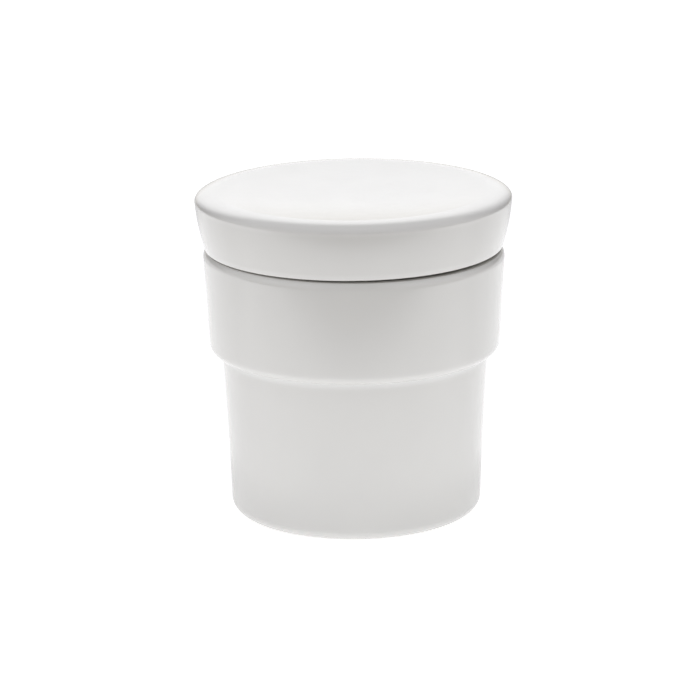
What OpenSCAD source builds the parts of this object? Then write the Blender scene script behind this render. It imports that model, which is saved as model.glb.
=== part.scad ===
// Lidded porcelain crucible: a stepped cup with a flared, dished lid that lifts off.
// Frame: +Z up, origin on the axis in the plane that the foot ring stands on.
// All lengths are in millimetres. Both pieces are turned, so each one's outline is a list
// of [radius, height] points that starts and ends on the axis.

/* [Cup] */
// Height of the rim's crest
rim_z = 76.8; // [72:0.2:84]
// Height of the step's underside
step_z = 46.8; // [38:0.2:54]
// Outer radius of the lower wall just under the step
waist_r = 38; // [36:0.1:40]
// How far the lower wall draws in from there to the foot
foot_draw = 2.1; // [0.5:0.1:3.5]
// How far the step stands out from the lower wall
step_w = 3.5; // [3.5:0.1:5]
// How far the collar flares out from the step to the rim
collar_flare = 1.3; // [0.5:0.1:2.5]
// Thickness of the wall
wall_t = 3.4; // [3.4:0.1:4.2]
// Thickness of the floor
floor_t = 4; // [3:0.1:6]
// How far the lower wall is hollowed between its ends
wall_hollow = 0.2; // [0:0.05:0.5]

/* [Foot] */
// Rounding of the foot's outer edge
foot_round = 3.3; // [1.5:0.1:3.6]
// Inner radius of the ring that the cup stands on
ring_r = 29; // [20:0.1:29.4]
// Depth of the recess inside that ring
recess_h = 1.2; // [0.6:0.1:2]

/* [Step and rim] */
// Width of the rounding at the step's lower edge
step_round_w = 2.8; // [1.5:0.1:2.8]
// Height of that rounding
step_round_h = 2.6; // [1.5:0.1:3.5]
// Height of the fillet in the corner under the step
waist_fillet_h = 2; // [0.4:0.1:2.5]
// Width of the rim's outer rounding
rim_round_w = 1.4; // [1.2:0.1:2.4]
// Height of the rim's outer rounding
rim_round_h = 2.4; // [1:0.1:3.5]
// Rounding of the mouth's edge
mouth_round = 0.9; // [0.4:0.1:0.9]

/* [Lid] */
// Height of the lid above its seat
lid_h = 16; // [14:0.1:19]
// How far the lid's lower edge lies inside the rim
lid_inset = 0.3; // [0:0.1:1]
// How far the lid's side flares out from there
lid_flare = 2.5; // [1:0.1:5]
// Rounding of the lid's lower edge
base_round = 0.5; // [0.4:0.1:1.4]
// Width of the rounding at the lid's upper edge
lid_round_w = 6; // [2:0.5:8]
// Height of that rounding
lid_round_h = 2.4; // [1.5:0.1:3]
// How far the lid's side bows out between its ends
side_bow = 0.35; // [0:0.05:0.5]
// Slope of the dished top at its edge, in degrees
dish_lean = 5.5; // [1:0.5:7]
// Thickness of the lid's wall and top
lid_t = 4; // [3.4:0.1:4.2]
// Depth of the locating ring under the seat
ring_h = 6; // [4:0.1:9]
// Thickness of the locating ring
ring_t = 2.8; // [2.2:0.1:3.4]

/* [Fit] */
// Height between the rim's crest and the lid's seat
seat_gap = 0.2; // [0.1:0.05:0.3]
// Radial clearance of the locating ring in the mouth
mouth_gap = 0.45; // [0.3:0.05:0.8]

/* [Hidden] */
arc_steps = 8;
turn_fn = 180;
porcelain = [0.93, 0.93, 0.91];

// Points of an elliptic arc about c with radii r, from angle a to angle b
function arc(c, r, a, b) = [
    for (i = [0 : arc_steps])
        let (t = a + (b - a) * i / arc_steps)
        [c.x + r.x * cos(t), c.y + r.y * sin(t)]
];

// The inner points of a line from p to q that bows to its right-hand side by bow
function bowed(p, q, bow) = [
    for (i = [1 : arc_steps - 1])
        let (t = i / arc_steps, d = (q - p) / norm(q - p))
        p + (q - p) * t + [d.y, -d.x] * 4 * bow * t * (1 - t)
];

// Lean of a line from p to q away from the vertical, outwards positive
function lean(p, q) = atan((q.x - p.x) / (q.y - p.y));

// Radius at height z on the line through p and q
function radius_at(p, q, z) = p.x + (q.x - p.x) * (z - p.y) / (q.y - p.y);

// Start angle of an elliptic rounding that leaves a side leaning by a without a kink
function start_angle(a, w, h) = -atan(h / w * tan(a));

// Cup, outside
foot_r = waist_r - foot_draw;
collar_r = waist_r + step_w;
rim_r = collar_r + collar_flare;
foot_p = [foot_r, foot_round];
waist_fillet_w = 0.6;
waist_p = [waist_r, step_z - waist_fillet_h];
low_lean = lean(foot_p, waist_p);
collar_p = [collar_r, step_z + step_round_h];
rim_p = [rim_r, rim_z - rim_round_h];
high_lean = lean(collar_p, rim_p);
step_a = start_angle(high_lean, step_round_w, step_round_h);
rim_a = start_angle(high_lean, rim_round_w, rim_round_h);
ring_round = 0.45 * recess_h;

// Cup, inside: every surface lies one wall thickness in from the outside
floor_z = recess_h + floor_t;
floor_round = 5;
ledge_z = step_z + wall_t;
ledge_round = 2;
ledge_fillet = 1.2;
mouth_r = rim_r - wall_t;
mouth_p = [mouth_r, rim_z - mouth_round];
ledge_p = [collar_r - wall_t, ledge_z + ledge_fillet];
neck_p = [waist_r - wall_t, ledge_z - ledge_round];
well_z = floor_z + floor_round;
well_p = [radius_at(foot_p, waist_p, well_z) - wall_t, well_z];

// Lid
lid_base_r = rim_r - lid_inset;
lid_r = lid_base_r + lid_flare;
seat_z = rim_z + seat_gap;
top_z = seat_z + lid_h;
base_p = [lid_base_r, seat_z + base_round];
side_p = [lid_r, top_z - lid_round_h];
side_lean = lean(base_p, side_p);
crest_r = lid_r - lid_round_w;
crest_a = atan(lid_round_w / lid_round_h * tan(dish_lean));
dish_r = crest_r - lid_round_w * sin(crest_a);
dish_z = top_z - lid_round_h * (1 - cos(crest_a));
dish_depth = dish_r * tan(dish_lean) / 2;
ceiling_z = dish_z - dish_depth - lid_t;
ceiling_fillet = 2.5;
shoulder_t = 3.4;
shoulder_p = [radius_at(base_p, side_p, seat_z + shoulder_t) - lid_t, seat_z + shoulder_t];
hollow_p = [radius_at(base_p, side_p, ceiling_z - ceiling_fillet) - lid_t, ceiling_z - ceiling_fillet];
spigot_r = radius_at(ledge_p, mouth_p, seat_z - ring_h) - mouth_gap;
spigot_fillet = 0.6;
spigot_round = ring_t / 2;
throat_r = spigot_r - ring_t;

cup_outline = concat(
    // recess, and the inner edge of the ring that it stands on
    [[0, recess_h]],
    arc([ring_r - ring_round, recess_h - ring_round], [ring_round, ring_round], 90, 0),
    arc([ring_r + ring_round, ring_round], [ring_round, ring_round], 180, 270),
    // foot, lower wall and the corner under the step
    arc([foot_r - foot_round, foot_round], [foot_round, foot_round], -90, -low_lean),
    bowed(foot_p, waist_p, -wall_hollow),
    arc([waist_r + waist_fillet_w, waist_p.y], [waist_fillet_w, waist_fillet_h], 180, 90),
    // step, collar and rim
    arc([collar_r - step_round_w, collar_p.y], [step_round_w, step_round_h], -90, step_a),
    arc([rim_r - rim_round_w, rim_p.y], [rim_round_w, rim_round_h], rim_a, 90),
    arc([mouth_r + mouth_round, mouth_p.y], [mouth_round, mouth_round], 90, 180),
    // inside of the collar, the ledge and the well
    arc([ledge_p.x - ledge_fillet, ledge_p.y], [ledge_fillet, ledge_fillet], 0, -90),
    arc([neck_p.x + ledge_round, neck_p.y], [ledge_round, ledge_round], 90, 180),
    arc([well_p.x - floor_round, well_z], [floor_round, floor_round], 0, -90),
    [[0, floor_z]]
);

lid_outline = concat(
    // hollow underside: the ceiling, the wall, the shoulder and the ring's inner face
    [[0, ceiling_z]],
    arc([hollow_p.x - ceiling_fillet, hollow_p.y], [ceiling_fillet, ceiling_fillet], 90, 0),
    [shoulder_p, [throat_r, seat_z]],
    // locating ring and seat
    arc([spigot_r - spigot_round, seat_z - ring_h + spigot_round], [spigot_round, spigot_round], 180, 360),
    arc([spigot_r + spigot_fillet, seat_z - spigot_fillet], [spigot_fillet, spigot_fillet], 180, 90),
    // lower edge, side and upper edge
    arc([lid_base_r - base_round, base_p.y], [base_round, base_round], -90, -side_lean),
    bowed(base_p, side_p, side_bow),
    arc([crest_r, side_p.y], [lid_round_w, lid_round_h], 0, 90 + crest_a),
    // dished top, a parabola that leaves the upper edge without a kink
    [
        for (i = [arc_steps - 1 : -1 : 0])
            let (t = i / arc_steps)
            [dish_r * t, dish_z - dish_depth * (1 - t * t)]
    ]
);

module turned(outline) {
    rotate_extrude($fn = turn_fn) polygon(outline);
}

module cup() {
    color(porcelain) turned(cup_outline);
}

module lid() {
    color(porcelain) turned(lid_outline);
}

cup();
lid();
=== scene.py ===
import math

import bpy
from mathutils import Matrix, Vector


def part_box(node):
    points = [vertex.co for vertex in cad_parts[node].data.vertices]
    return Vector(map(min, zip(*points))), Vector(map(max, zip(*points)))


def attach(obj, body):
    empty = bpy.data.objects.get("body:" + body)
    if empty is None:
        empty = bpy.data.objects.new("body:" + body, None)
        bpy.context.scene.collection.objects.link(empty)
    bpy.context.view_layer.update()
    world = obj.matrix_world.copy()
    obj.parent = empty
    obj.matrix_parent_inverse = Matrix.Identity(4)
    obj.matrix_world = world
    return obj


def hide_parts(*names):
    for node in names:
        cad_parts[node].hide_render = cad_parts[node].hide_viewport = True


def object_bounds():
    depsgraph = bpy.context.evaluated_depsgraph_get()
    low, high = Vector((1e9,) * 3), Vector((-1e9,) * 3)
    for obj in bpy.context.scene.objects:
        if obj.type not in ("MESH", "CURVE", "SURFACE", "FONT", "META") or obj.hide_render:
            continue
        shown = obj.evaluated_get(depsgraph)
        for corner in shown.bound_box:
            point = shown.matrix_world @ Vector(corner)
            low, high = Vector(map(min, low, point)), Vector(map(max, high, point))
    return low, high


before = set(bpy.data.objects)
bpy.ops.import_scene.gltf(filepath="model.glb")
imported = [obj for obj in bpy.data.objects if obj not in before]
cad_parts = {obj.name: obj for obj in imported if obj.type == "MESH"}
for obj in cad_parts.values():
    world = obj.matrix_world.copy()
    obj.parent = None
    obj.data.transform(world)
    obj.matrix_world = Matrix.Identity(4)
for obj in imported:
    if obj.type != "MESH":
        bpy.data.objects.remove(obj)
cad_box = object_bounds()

# Lidded porcelain crucible: the visual cup and lid, turned from fine outlines around the
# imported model, with a clear glaze over white porcelain. Lengths are in metres.
MM = 0.001
SEGMENTS = 240
ARC_STEPS = 14
GLAZED, BARE = 0, 1


# ---------------------------------------------------------------- sizes
cup_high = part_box("cup")[1]
lid_low, lid_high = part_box("lid")

# cup, outside
RIM_Z = cup_high.z
RIM_R = cup_high.x
COLLAR_H = 30 * MM
COLLAR_FLARE = 1.3 * MM
STEP_W = 3.5 * MM
FOOT_DRAW = 2.1 * MM
WALL_HOLLOW = 0.2 * MM
STEP_Z = RIM_Z - COLLAR_H
COLLAR_R = RIM_R - COLLAR_FLARE
WAIST_R = COLLAR_R - STEP_W
FOOT_R = WAIST_R - FOOT_DRAW

# cup, roundings
FOOT_ROUND = 3.3 * MM
WAIST_FILLET_W = 0.6 * MM
WAIST_FILLET_H = 2 * MM
STEP_ROUND_W = 2.8 * MM
STEP_ROUND_H = 2.6 * MM
RIM_ROUND_W = 1.4 * MM
RIM_ROUND_H = 2.4 * MM
MOUTH_ROUND = 0.9 * MM

# cup, ends of its straight parts as (radius, height)
FOOT_P = (FOOT_R, FOOT_ROUND)
WAIST_P = (WAIST_R, STEP_Z - WAIST_FILLET_H)
COLLAR_P = (COLLAR_R, STEP_Z + STEP_ROUND_H)
RIM_P = (RIM_R, RIM_Z - RIM_ROUND_H)

# foot ring and inside of the cup
RING_R = 29 * MM
RECESS_H = 1.2 * MM
RING_ROUND = 0.45 * RECESS_H
WALL_T = 3.4 * MM
FLOOR_Z = RECESS_H + 4 * MM
FLOOR_ROUND = 5 * MM
LEDGE_Z = STEP_Z + WALL_T
LEDGE_ROUND = 2 * MM
LEDGE_FILLET = 1.2 * MM
MOUTH_R = RIM_R - WALL_T

# lid, outside
SEAT_Z = RIM_Z + 0.15 * MM
TOP_Z = lid_high.z
LID_R = lid_high.x
LID_FLARE = 2.5 * MM
LID_BASE_R = LID_R - LID_FLARE
BASE_ROUND = 0.5 * MM
LID_ROUND_W = 6 * MM
LID_ROUND_H = 2.4 * MM
SIDE_BOW = 0.35 * MM
BASE_P = (LID_BASE_R, SEAT_Z + BASE_ROUND)
SIDE_P = (LID_R, TOP_Z - LID_ROUND_H)

# lid, dished top: a parabola that leaves the upper rounding without a kink
DISH_SLOPE = math.tan(math.radians(5.5))
CREST_R = LID_R - LID_ROUND_W
CREST_END = math.degrees(math.atan(LID_ROUND_W / LID_ROUND_H * DISH_SLOPE))
DISH_R = CREST_R - LID_ROUND_W * math.sin(math.radians(CREST_END))
DISH_Z = TOP_Z - LID_ROUND_H * (1 - math.cos(math.radians(CREST_END)))
DISH_DEPTH = DISH_R * DISH_SLOPE / 2
DISH_STEPS = 32

# lid, underside and locating ring
LID_T = 4 * MM
CEILING_Z = DISH_Z - DISH_DEPTH - LID_T
CEILING_FILLET = 2.5 * MM
SHOULDER_T = 3.4 * MM
SHOULDER_REACH = 1.5 * MM
THROAT_REACH = 1.2 * MM
RING_T = 2.8 * MM
SPIGOT_Z = lid_low.z
SPIGOT_R = 38.7 * MM
SPIGOT_ROUND = RING_T / 2
SPIGOT_FILLET = 0.6 * MM

# where the unglazed bands start or end on the roundings, in degrees
BARE_FOOT_END = -68
BARE_RIM_START = 66
BARE_MOUTH_END = 115
BARE_SPIGOT_START = 340
BARE_BASE_END = -50

# points closer than this are made one
WELD = 0.004 * MM

# hand-made unevenness: each piece is a little out of round, the rim dips on one side, and
# the lid stands a little high on another
CUP_OVAL = 0.06 * MM
LID_OVAL = 0.05 * MM
LID_LIFT = 0.28 * MM
LID_LIFT_TOWARDS = math.radians(-20)
RIM_DIP = 0.56 * MM
RIM_DIP_TOWARDS = math.radians(15)


# ---------------------------------------------------------------- curves
def arc(centre, radii, start, end, steps=ARC_STEPS):
    """Points of an elliptic arc, from angle start to angle end in degrees."""
    points = []
    for i in range(steps + 1):
        t = math.radians(start + (end - start) * i / steps)
        points.append((centre[0] + radii[0] * math.cos(t), centre[1] + radii[1] * math.sin(t)))
    return points


def line(p, q, steps):
    """Evenly spaced points from p to q."""
    points = []
    for i in range(steps + 1):
        t = i / steps
        points.append((p[0] + (q[0] - p[0]) * t, p[1] + (q[1] - p[1]) * t))
    return points


def bowed(p, q, bow, steps):
    """The inner points of a line from p to q that bows to its right-hand side by bow."""
    length = math.dist(p, q)
    dx, dz = (q[0] - p[0]) / length, (q[1] - p[1]) / length
    points = []
    for i in range(1, steps):
        t = i / steps
        out = 4 * bow * t * (1 - t)
        points.append((p[0] + (q[0] - p[0]) * t + dz * out, p[1] + (q[1] - p[1]) * t - dx * out))
    return points


def corner(before, point, after, reach, steps=8):
    """A smooth curve round the corner at point, which starts and ends reach away from it."""
    ends = []
    for other in (before, after):
        share = reach / math.dist(point, other)
        ends.append((point[0] + (other[0] - point[0]) * share, point[1] + (other[1] - point[1]) * share))
    points = []
    for i in range(steps + 1):
        t = i / steps
        a, b, c = (1 - t) ** 2, 2 * t * (1 - t), t * t
        points.append(tuple(a * ends[0][k] + b * point[k] + c * ends[1][k] for k in range(2)))
    return points


def lean(p, q):
    """Lean of the line from p to q away from the vertical, in degrees, outwards positive."""
    return math.degrees(math.atan((q[0] - p[0]) / (q[1] - p[1])))


def radius_at(p, q, z):
    """Radius at height z on the line through p and q."""
    return p[0] + (q[0] - p[0]) * (z - p[1]) / (q[1] - p[1])


def start_angle(lean_angle, width, height):
    """Angle at which an elliptic rounding leaves a side of that lean without a kink."""
    return -math.degrees(math.atan(height / width * math.tan(math.radians(lean_angle))))


# ---------------------------------------------------------------- outlines
def foot_arc(start, end, steps=ARC_STEPS):
    """Part of the foot's outer rounding."""
    return arc((FOOT_R - FOOT_ROUND, FOOT_ROUND), (FOOT_ROUND, FOOT_ROUND), start, end, steps)


def rim_arc(start, end, steps=ARC_STEPS):
    """Part of the rim's outer rounding."""
    return arc((RIM_R - RIM_ROUND_W, RIM_P[1]), (RIM_ROUND_W, RIM_ROUND_H), start, end, steps)


def mouth_arc(start, end, steps=ARC_STEPS):
    """Part of the mouth's rounding."""
    centre = (MOUTH_R + MOUTH_ROUND, RIM_Z - MOUTH_ROUND)
    return arc(centre, (MOUTH_ROUND, MOUTH_ROUND), start, end, steps)


def recess():
    """The underside inside the foot ring, from the axis outwards."""
    inner = RING_R - RING_ROUND
    flat = line((0, RECESS_H), (inner, RECESS_H), 12)
    return flat + arc((inner, RECESS_H - RING_ROUND), (RING_ROUND, RING_ROUND), 90, 0)


def ring_edge():
    """The inner edge of the ring that the cup stands on."""
    return arc((RING_R + RING_ROUND, RING_ROUND), (RING_ROUND, RING_ROUND), 180, 270)


def cup_side():
    """The outside, from the foot ring to the rim."""
    high_lean = lean(COLLAR_P, RIM_P)
    step_end = start_angle(high_lean, STEP_ROUND_W, STEP_ROUND_H)
    rim_start = start_angle(high_lean, RIM_ROUND_W, RIM_ROUND_H)
    foot = foot_arc(BARE_FOOT_END, -lean(FOOT_P, WAIST_P))
    wall = bowed(FOOT_P, WAIST_P, -WALL_HOLLOW, 24)
    fillet_centre = (WAIST_R + WAIST_FILLET_W, WAIST_P[1])
    fillet = arc(fillet_centre, (WAIST_FILLET_W, WAIST_FILLET_H), 180, 90)
    step_centre = (COLLAR_R - STEP_ROUND_W, COLLAR_P[1])
    step = arc(step_centre, (STEP_ROUND_W, STEP_ROUND_H), -90, step_end)
    rim = rim_arc(rim_start, BARE_RIM_START)
    return foot + wall + fillet + step + line(step[-1], rim[0], 16) + rim


def cup_inside():
    """The inside, from the mouth over the ledge behind the step to the axis."""
    ledge_r, neck_r = COLLAR_R - WALL_T, WAIST_R - WALL_T
    ledge_top, neck_z = LEDGE_Z + LEDGE_FILLET, LEDGE_Z - LEDGE_ROUND
    well_z = FLOOR_Z + FLOOR_ROUND
    well_r = radius_at(FOOT_P, WAIST_P, well_z) - WALL_T
    mouth = mouth_arc(BARE_MOUTH_END, 180)
    collar = line((MOUTH_R, RIM_Z - MOUTH_ROUND), (ledge_r, ledge_top), 16)
    ledge = arc((ledge_r - LEDGE_FILLET, ledge_top), (LEDGE_FILLET, LEDGE_FILLET), 0, -90)
    neck = arc((neck_r + LEDGE_ROUND, neck_z), (LEDGE_ROUND, LEDGE_ROUND), 90, 180)
    wall = line((neck_r, neck_z), (well_r, well_z), 16)
    well = arc((well_r - FLOOR_ROUND, well_z), (FLOOR_ROUND, FLOOR_ROUND), 0, -90)
    bottom = line((well_r - FLOOR_ROUND, FLOOR_Z), (0, FLOOR_Z), 12)
    return mouth + collar + ledge + neck + wall + well + bottom


def cup_strips():
    """The cup's outline from the axis underneath, over the rim and back to the axis inside, as
    strips of one finish each."""
    return [
        (GLAZED, recess()),
        (BARE, ring_edge() + foot_arc(-90, BARE_FOOT_END, 4)),
        (GLAZED, cup_side()),
        (BARE, rim_arc(BARE_RIM_START, 90, 3) + mouth_arc(90, BARE_MOUTH_END, 4)),
        (GLAZED, cup_inside()),
    ]


def spigot_arc(start, end, steps):
    """Part of the locating ring's rounded lower edge."""
    centre = (SPIGOT_R - SPIGOT_ROUND, SPIGOT_Z + SPIGOT_ROUND)
    return arc(centre, (SPIGOT_ROUND, SPIGOT_ROUND), start, end, steps)


def base_arc(start, end, steps=ARC_STEPS):
    """Part of the rounding at the lid's lower edge."""
    return arc((LID_BASE_R - BASE_ROUND, BASE_P[1]), (BASE_ROUND, BASE_ROUND), start, end, steps)


def lid_hollow():
    """The hollow underside, from the axis to the locating ring's lower edge."""
    shoulder_z = SEAT_Z + SHOULDER_T
    shoulder = (radius_at(BASE_P, SIDE_P, shoulder_z) - LID_T, shoulder_z)
    hollow_z = CEILING_Z - CEILING_FILLET
    hollow = (radius_at(BASE_P, SIDE_P, hollow_z) - LID_T, hollow_z)
    throat = (SPIGOT_R - RING_T, SEAT_Z)
    ring_foot = (throat[0], SPIGOT_Z + SPIGOT_ROUND)
    flat_r = hollow[0] - CEILING_FILLET
    ceiling = line((0, CEILING_Z), (flat_r, CEILING_Z), 12)
    fillet = arc((flat_r, hollow_z), (CEILING_FILLET, CEILING_FILLET), 90, 0)
    upper = corner(hollow, shoulder, throat, SHOULDER_REACH)
    lower = corner(shoulder, throat, ring_foot, THROAT_REACH)
    return ceiling + fillet + upper + lower + spigot_arc(180, BARE_SPIGOT_START, 2 * ARC_STEPS)


def lid_seat():
    """The locating ring's outer face and the seat."""
    fillet_centre = (SPIGOT_R + SPIGOT_FILLET, SEAT_Z - SPIGOT_FILLET)
    fillet = arc(fillet_centre, (SPIGOT_FILLET, SPIGOT_FILLET), 180, 90)
    return spigot_arc(BARE_SPIGOT_START, 360, 3) + fillet + base_arc(-90, BARE_BASE_END, 3)


def lid_outside():
    """The side, the upper rounding and the dished top, from the seat to the axis."""
    side_lean = lean(BASE_P, SIDE_P)
    bow_angle = math.degrees(math.atan(4 * SIDE_BOW / math.dist(BASE_P, SIDE_P)))
    side_start = -(side_lean + bow_angle)
    side_end = start_angle(side_lean - bow_angle, LID_ROUND_W, LID_ROUND_H)
    base = base_arc(BARE_BASE_END, side_start)
    side = bowed(BASE_P, SIDE_P, SIDE_BOW, 20)
    crest_radii = (LID_ROUND_W, LID_ROUND_H)
    crest = arc((CREST_R, SIDE_P[1]), crest_radii, side_end, 90 + CREST_END, 3 * ARC_STEPS)
    dish = []
    for i in range(DISH_STEPS - 1, -1, -1):
        t = i / DISH_STEPS
        dish.append((DISH_R * t, DISH_Z - DISH_DEPTH * (1 - t ** 2)))
    return base + side + crest + dish


def lid_strips():
    """The lid's outline from the axis underneath, round its edge and back to the axis on top."""
    return [(GLAZED, lid_hollow()), (BARE, lid_seat()), (GLAZED, lid_outside())]


# ---------------------------------------------------------------- meshes
def merged(strips):
    """One list of points, and for each point the finish of the band that ends there."""
    points, finishes = [], []
    for finish, strip in strips:
        for point in strip:
            if points and math.dist(points[-1], point) < WELD:
                continue
            points.append(point)
            finishes.append(finish)
    return points, finishes


def turn_at(before, point, after):
    """How far the outline turns at a point, in radians, positive on an outer edge."""
    ax, ay = point[0] - before[0], point[1] - before[1]
    bx, by = after[0] - point[0], after[1] - point[1]
    return math.atan2(ax * by - ay * bx, ax * bx + ay * by)


# painted light: the bend marks inner corners, which the glaze paints lighter as a stand-in for highlight
# and bounce light, and outer edges, which get a lighter tone
def edge_tone_and_corner_light(points):
    """The outline's bend around each point, within reach of it: up to +1 on an outer edge and
    down to -1 in an inner corner."""
    reach = 2.4 * MM
    along = [0.0]
    for p, q in zip(points, points[1:]):
        along.append(along[-1] + math.dist(p, q))
    turns = [0.0] * len(points)
    for i in range(1, len(points) - 1):
        turns[i] = turn_at(points[i - 1], points[i], points[i + 1])
    bends = []
    for here in along:
        total = sum(turn * max(0.0, 1 - abs(there - here) / reach) for turn, there in zip(turns, along))
        bends.append(max(-1.0, min(1.0, total)))
    return bends


def turned_faces(rows, finishes):
    """Faces and their material slots: a fan round each pole, with quads between them. rows is
    the number of points between the poles."""
    faces, slots = [], []
    last = 1 + rows * SEGMENTS
    for k in range(SEGMENTS):
        here, there = 1 + k * rows, 1 + (k + 1) % SEGMENTS * rows
        faces.append((0, there, here))
        slots.append(finishes[1])
        for i in range(rows - 1):
            faces.append((here + i, there + i, there + i + 1, here + i + 1))
            slots.append(finishes[i + 2])
        faces.append((here + rows - 1, there + rows - 1, last))
        slots.append(finishes[-1])
    return faces, slots


def turned(name, strips, shift):
    """A closed mesh turned round the Z axis. shift(angle, radius, z) gives a point's small
    move outwards and upwards."""
    points, finishes = merged(strips)
    bends = edge_tone_and_corner_light(points)
    low_z, high_z = points[0][1], points[-1][1]
    inner = points[1:-1]
    verts = [(0, 0, low_z + shift(0, 0, low_z)[1])]
    for k in range(SEGMENTS):
        angle = 2 * math.pi * k / SEGMENTS
        for r, z in inner:
            out, up = shift(angle, r, z)
            verts.append(((r + out) * math.cos(angle), (r + out) * math.sin(angle), z + up))
    verts.append((0, 0, high_z + shift(0, 0, high_z)[1]))
    faces, slots = turned_faces(len(inner), finishes)
    mesh = bpy.data.meshes.new(name)
    mesh.from_pydata(verts, [], faces)
    mesh.polygons.foreach_set("material_index", slots)
    mesh.polygons.foreach_set("use_smooth", [True] * len(faces))
    bend_of_point = [bends[0]] + bends[1:-1] * SEGMENTS + [bends[-1]]
    # the bend goes to the glaze as painted light in inner corners and a lighter tone on edges
    mesh.attributes.new("edge_tone_and_corner_light", "FLOAT", "POINT").data.foreach_set("value", bend_of_point)
    mesh.update()
    piece = bpy.data.objects.new(name, mesh)
    bpy.context.scene.collection.objects.link(piece)
    return piece


def cup_shift(angle, r, z):
    """The cup is slightly oval, and its rim dips on one side."""
    near_rim = max(0.0, (z - STEP_Z) / (RIM_Z - STEP_Z)) ** 2
    dip = RIM_DIP * (1 + math.cos(angle - RIM_DIP_TOWARDS)) / 2
    oval = CUP_OVAL * math.cos(2 * angle + 0.7) * (z / RIM_Z) * (r / RIM_R)
    return oval, -dip * near_rim


def lid_shift(angle, r, z):
    """The lid is slightly oval too, and stands a little higher on one side."""
    oval = LID_OVAL * math.cos(2 * angle - 1.1) * (r / LID_R)
    lift = LID_LIFT * (1 + math.cos(angle - LID_LIFT_TOWARDS)) / 2
    return oval, lift * r / LID_R


# ---------------------------------------------------------------- materials
GLAZE_TONES = (0.778, 0.774, 0.757, 1), (0.789, 0.785, 0.766, 1)
# painted highlight: inner corners are coloured lighter to stand in for the highlight and bounce light
# under the step
PAINTED_CORNER_LIGHT = (0.870, 0.870, 0.862, 1)
GLAZE_ON_EDGES = (0.862, 0.858, 0.845, 1)
GLAZE_ROUGHNESS = 0.16, 0.26
GLAZE_WAVES = 0.10 * MM
GLAZE_PEEL = 0.0012 * MM
# painted shade: the unglazed bands at the seam are this dark grey to stand in for the shade of the gap
# between lid and cup
BARE_TONE_AND_SEAM_SHADE = (0.52, 0.51, 0.485, 1)
BARE_RUBBED = (0.36, 0.35, 0.33, 1)
BARE_ROUGHNESS = 0.78, 0.6
BARE_GRAIN = 0.02 * MM


class Nodes:
    """Short calls for building a node tree."""

    def __init__(self, tree):
        self.tree = tree
        tree.nodes.clear()

    def add(self, kind, settings=None, **inputs):
        """Adds a node. settings are its properties. inputs are values or the sockets that feed
        it, named as on the node with _ for a space, or i0, i1 and so on for their numbers."""
        node = self.tree.nodes.new(kind)
        for key, value in (settings or {}).items():
            setattr(node, key, value)
        for key, value in inputs.items():
            socket = node.inputs[int(key[1:])] if key[1:].isdigit() else node.inputs[key.replace("_", " ")]
            if isinstance(value, bpy.types.NodeSocket):
                self.tree.links.new(value, socket)
            else:
                socket.default_value = value
        return node

    def math(self, operation, a, b):
        return self.add("ShaderNodeMath", {"operation": operation}, i0=a, i1=b).outputs[0]

    def vector(self, operation, **inputs):
        return self.add("ShaderNodeVectorMath", {"operation": operation}, **inputs)

    def noise(self, where, scale, detail=2.0, roughness=0.5):
        node = self.add(
            "ShaderNodeTexNoise", None, Vector=where, Scale=scale, Detail=detail, Roughness=roughness
        )
        return node.outputs["Fac"]

    def ramp(self, value, low, high, to_low, to_high):
        """A smooth ramp from to_low, where value is low, to to_high, where it is high."""
        smooth = {"interpolation_type": "SMOOTHSTEP"}
        node = self.add("ShaderNodeMapRange", smooth, i0=value, i1=low, i2=high, i3=to_low, i4=to_high)
        return node.outputs[0]

    def mix(self, share, a, b):
        """A mix of two colours, b by share."""
        return self.add("ShaderNodeMix", {"data_type": "RGBA"}, i0=share, i6=a, i7=b).outputs[2]

    def blend(self, share, a, b):
        """A mix of two numbers, b by share."""
        return self.add("ShaderNodeMix", {"data_type": "FLOAT"}, i0=share, i2=a, i3=b).outputs[0]

    def bump(self, height, distance, **inputs):
        node = self.add(
            "ShaderNodeBump", None, Height=height, Distance=distance, Strength=1.0, **inputs
        )
        return node.outputs[0]

    def output(self, kind, shader):
        self.add(kind, None, Surface=shader.outputs[0])


def new_material(name):
    """A material and the nodes to build it with."""
    material = bpy.data.materials.new(name)
    material.use_nodes = True
    return material, Nodes(material.node_tree)


def glazed_porcelain():
    """White porcelain under a clear glaze: nearly flat white, with soft waves in the glaze, a
    faint orange peel, a painted highlight that makes inner corners lighter, and a lighter tone on edges."""
    material, n = new_material("glazed_porcelain")
    where = n.add("ShaderNodeTexCoord").outputs["Object"]
    cloud = n.noise(where, 45.0, 3.0)
    haze = n.noise(where, 130.0, 4.0)
    corner_light_and_edge_mask = n.add("ShaderNodeAttribute", {"attribute_name": "edge_tone_and_corner_light"}).outputs["Fac"]
    body = n.mix(n.ramp(cloud, 0.35, 0.65, 0.0, 1.0), *GLAZE_TONES)
    # painted highlight: inner corners lighter, standing in for the highlight and bounce light there
    with_painted_corner_light = n.mix(n.ramp(corner_light_and_edge_mask, -0.9, -0.1, 0.9, 0.0), body, PAINTED_CORNER_LIGHT)
    colour = n.mix(n.ramp(corner_light_and_edge_mask, 0.2, 1.0, 0.0, 0.8), with_painted_corner_light, GLAZE_ON_EDGES)
    waves = n.bump(n.noise(where, 38.0, 1.0), GLAZE_WAVES)
    peel = n.bump(n.noise(where, 850.0, 1.0), GLAZE_PEEL, Normal=waves)
    shader = n.add(
        "ShaderNodeBsdfPrincipled",
        None,
        Base_Color=colour,
        Roughness=n.ramp(haze, 0.3, 0.7, *GLAZE_ROUGHNESS),
        IOR=1.5,
        Normal=peel,
        Coat_Weight=1.0,
        Coat_Roughness=0.03,
        Coat_IOR=1.5,
        Coat_Normal=peel,
    )
    n.output("ShaderNodeOutputMaterial", shader)
    return material


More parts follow.
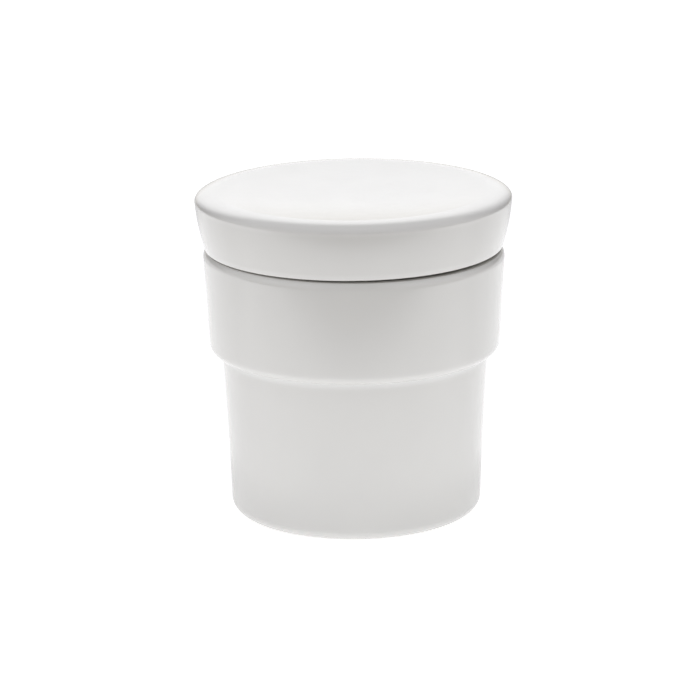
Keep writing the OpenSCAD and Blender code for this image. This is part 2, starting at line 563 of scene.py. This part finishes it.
def bare_porcelain():
    """Unglazed porcelain on the foot ring and the seats: matt, fine-grained, with grey rub marks,
    and a warm grey far darker than the glaze, which paints shade into the seam between lid and cup."""
    material, n = new_material("bare_porcelain")
    where = n.add("ShaderNodeTexCoord").outputs["Object"]
    rubbed = n.ramp(n.noise(where, 240.0, 5.0, 0.65), 0.5, 0.75, 0.0, 0.7)
    shader = n.add(
        "ShaderNodeBsdfPrincipled",
        None,
        Base_Color=n.mix(rubbed, BARE_TONE_AND_SEAM_SHADE, BARE_RUBBED),
        Roughness=n.ramp(rubbed, 0.0, 0.7, *BARE_ROUGHNESS),
        IOR=1.45,
        Normal=n.bump(n.noise(where, 5200.0, 2.0), BARE_GRAIN),
    )
    n.output("ShaderNodeOutputMaterial", shader)
    return material


# ---------------------------------------------------------------- studio
# ramps are (start, end, level at start, level at end)
FLOOR_SIZE = 6.0
FLOOR_TONES = (0.79, 0.79, 0.79, 1), (0.81, 0.81, 0.81, 1)
FLOOR_DARK = (0.36, 0.335, 0.30, 1)
CAMERA_GLOW = 0.62
FLOOR_SQUASH = (0.45, 1.0, 0.0)
FRONT_GLOW = 0.148, 0.218, 0.76, 0.0
BACK_GLOW = 0.22, 0.34, 0.50, 0.15
FRONT_TO_BACK = -0.05, 0.03, 0.0, 1.0
UNDER_OBJECT = 0.05, 0.08, 0.60, 1.0
DARK_START = 0.18, 0.24, 0.0, 1.0

BACKDROP_SEEN = (1.05, 1.05, 1.05, 1)
ROOM_LEVEL = 0.08, 0.60, 0.25, 0.70
ROOM_TINT_LOW = (1.08, 0.99, 0.84, 1)
ROOM_TINT_HIGH = (1.0, 0.995, 1.01, 1)
TINT_CHANGE = 0.0, 0.22, 0.0, 1.0
DARKEST = (0.03, 0.03, 0.03)
# azimuth, elevation, width, height, softness, radiance; below zero it darkens the room
SOFT_BOXES = (
    (-2, 19, 0.36, 0.36, 0.21, 0.96),  # backdrop
    (50, 24, 0.26, 0.40, 0.12, -0.36),  # gap right of the backdrop
    (-50, 24, 0.26, 0.40, 0.12, -0.36),  # gap left of the backdrop
    (-110, 32, 0.70, 0.50, 0.30, 0.09),  # high fill, left
    (180, 22, 0.45, 0.34, 0.22, -0.17),  # behind the camera
    (-125, 10, 0.50, 0.34, 0.20, 0.25),  # low panel, left
    (120, 12, 0.55, 0.34, 0.20, 0.30),  # low panel, right
)


def floor_glow(n, where, seen):
    """How strongly the floor shines, and how far into the dark front part a point lies. Seen by
    the camera, the glow is even and nothing is dark."""
    y = n.add("ShaderNodeSeparateXYZ", None, Vector=where).outputs[1]
    radius = n.vector("LENGTH", i0=where).outputs["Value"]
    squashed = n.vector("MULTIPLY", i0=where, i1=FLOOR_SQUASH).outputs[0]
    away = n.vector("LENGTH", i0=squashed).outputs["Value"]
    behind = n.ramp(y, *FRONT_TO_BACK)
    level = n.blend(behind, n.ramp(away, *FRONT_GLOW), n.ramp(away, *BACK_GLOW))
    glow = n.math("MULTIPLY", level, n.ramp(radius, *UNDER_OBJECT))
    dark = n.math("MULTIPLY", n.ramp(away, *DARK_START), n.math("SUBTRACT", 1.0, behind))
    dark = n.math("MULTIPLY", dark, n.math("SUBTRACT", 1.0, seen))
    return n.blend(seen, glow, CAMERA_GLOW), dark


def floor_material():
    """A pale table top. Its glow near the object brightens the object's sides and undersides,
    and further to the front it falls off to a darker, warmer floor."""
    material, n = new_material("studio_floor")
    where = n.add("ShaderNodeTexCoord").outputs["Object"]
    seen = n.add("ShaderNodeLightPath").outputs["Is Camera Ray"]
    glow, dark = floor_glow(n, where, seen)
    pale = n.mix(n.noise(where, 3.0), *FLOOR_TONES)
    shader = n.add(
        "ShaderNodeBsdfPrincipled",
        None,
        Base_Color=n.mix(dark, pale, FLOOR_DARK),
        Roughness=0.9,
        Emission_Color=(1, 1, 1, 1),
        Emission_Strength=glow,
    )
    n.output("ShaderNodeOutputMaterial", shader)
    return material


def floor():
    """A square sheet under the object."""
    half = FLOOR_SIZE / 2
    corners = [(-half, -half), (half, -half), (half, half), (-half, half)]
    mesh = bpy.data.meshes.new("floor")
    mesh.from_pydata([(x, y, cad_box[0].z) for x, y in corners], [], [(0, 1, 2, 3)])
    mesh.materials.append(floor_material())
    sheet = bpy.data.objects.new("floor", mesh)
    bpy.context.scene.collection.objects.link(sheet)


def soft_box(n, direction, azimuth, elevation, width, height, softness, radiance):
    """A soft-edged rectangle of light in the sky. Azimuth 0 is behind the object and grows
    towards +X; width, height and softness are tangents of half angles."""
    a, e = math.radians(azimuth), math.radians(elevation)
    forward = Vector((math.sin(a) * math.cos(e), math.cos(a) * math.cos(e), math.sin(e)))
    right = Vector((math.cos(a), -math.sin(a), 0))
    up = right.cross(forward)
    ahead = n.vector("DOT_PRODUCT", i0=direction, i1=forward).outputs["Value"]
    depth = n.math("MAXIMUM", ahead, 0.001)
    shown = n.math("GREATER_THAN", ahead, 0.0)
    for axis, half in ((right, width), (up, height)):
        aside = n.vector("DOT_PRODUCT", i0=direction, i1=axis).outputs["Value"]
        offset = n.math("DIVIDE", aside, depth)
        distance = n.add("ShaderNodeMath", {"operation": "ABSOLUTE"}, i0=offset).outputs[0]
        inside = n.ramp(distance, half - softness, half + softness, 1.0, 0.0)
        shown = n.math("MULTIPLY", shown, inside)
    return n.math("MULTIPLY", shown, radiance)


def studio_sky():
    """Soft light: a white backdrop between two dark gaps, two low panels and a faint fill, in a
    pale room that is darker and warmer near the horizon. The camera sees plain white."""
    world = bpy.data.worlds.new("studio")
    bpy.context.scene.world = world
    world.use_nodes = True
    n = Nodes(world.node_tree)
    direction = n.add("ShaderNodeTexCoord").outputs["Generated"]
    height = n.add("ShaderNodeSeparateXYZ", None, Vector=direction).outputs[2]
    light = 0.0
    for box in SOFT_BOXES:
        light = n.math("ADD", light, soft_box(n, direction, *box))
    tint = n.mix(n.ramp(height, *TINT_CHANGE), ROOM_TINT_LOW, ROOM_TINT_HIGH)
    room = n.vector("SCALE", i0=tint, Scale=n.ramp(height, *ROOM_LEVEL)).outputs[0]
    total = n.vector("ADD", i0=room, i1=light).outputs[0]
    total = n.vector("MAXIMUM", i0=total, i1=DARKEST).outputs[0]
    seen = n.add("ShaderNodeLightPath").outputs["Is Camera Ray"]
    background = n.add("ShaderNodeBackground", None, Color=n.mix(seen, total, BACKDROP_SEEN), Strength=1.0)
    n.output("ShaderNodeOutputWorld", background)


def camera():
    """A long lens from a little above, as for a catalogue picture."""
    distance, elevation, roll = 1.02, math.radians(15.57), math.radians(0.6)
    target = Vector((-1.39 * MM, 0, 45.9 * MM))
    data = bpy.data.cameras.new("camera")
    data.lens = 183.1
    data.clip_end = 50
    eye = bpy.data.objects.new("camera", data)
    bpy.context.scene.collection.objects.link(eye)
    back = Vector((0, -math.cos(elevation), math.sin(elevation)))
    tilt = Matrix.Rotation(math.pi / 2 - elevation, 4, "X") @ Matrix.Rotation(-roll, 4, "Z")
    eye.matrix_world = Matrix.Translation(target + back * distance) @ tilt
    bpy.context.scene.camera = eye
    bpy.context.scene.view_settings.view_transform = "Standard"


# ---------------------------------------------------------------- the scene
camera()
studio_sky()
floor()
glaze, bisque = glazed_porcelain(), bare_porcelain()
for name, node, strips, shift in (
    ("porcelain_cup", "cup", cup_strips(), cup_shift),
    ("porcelain_lid", "lid", lid_strips(), lid_shift),
):
    piece = turned(name, strips, shift)
    piece.data.materials.append(glaze)
    piece.data.materials.append(bisque)
    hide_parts(node)
    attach(piece, node)
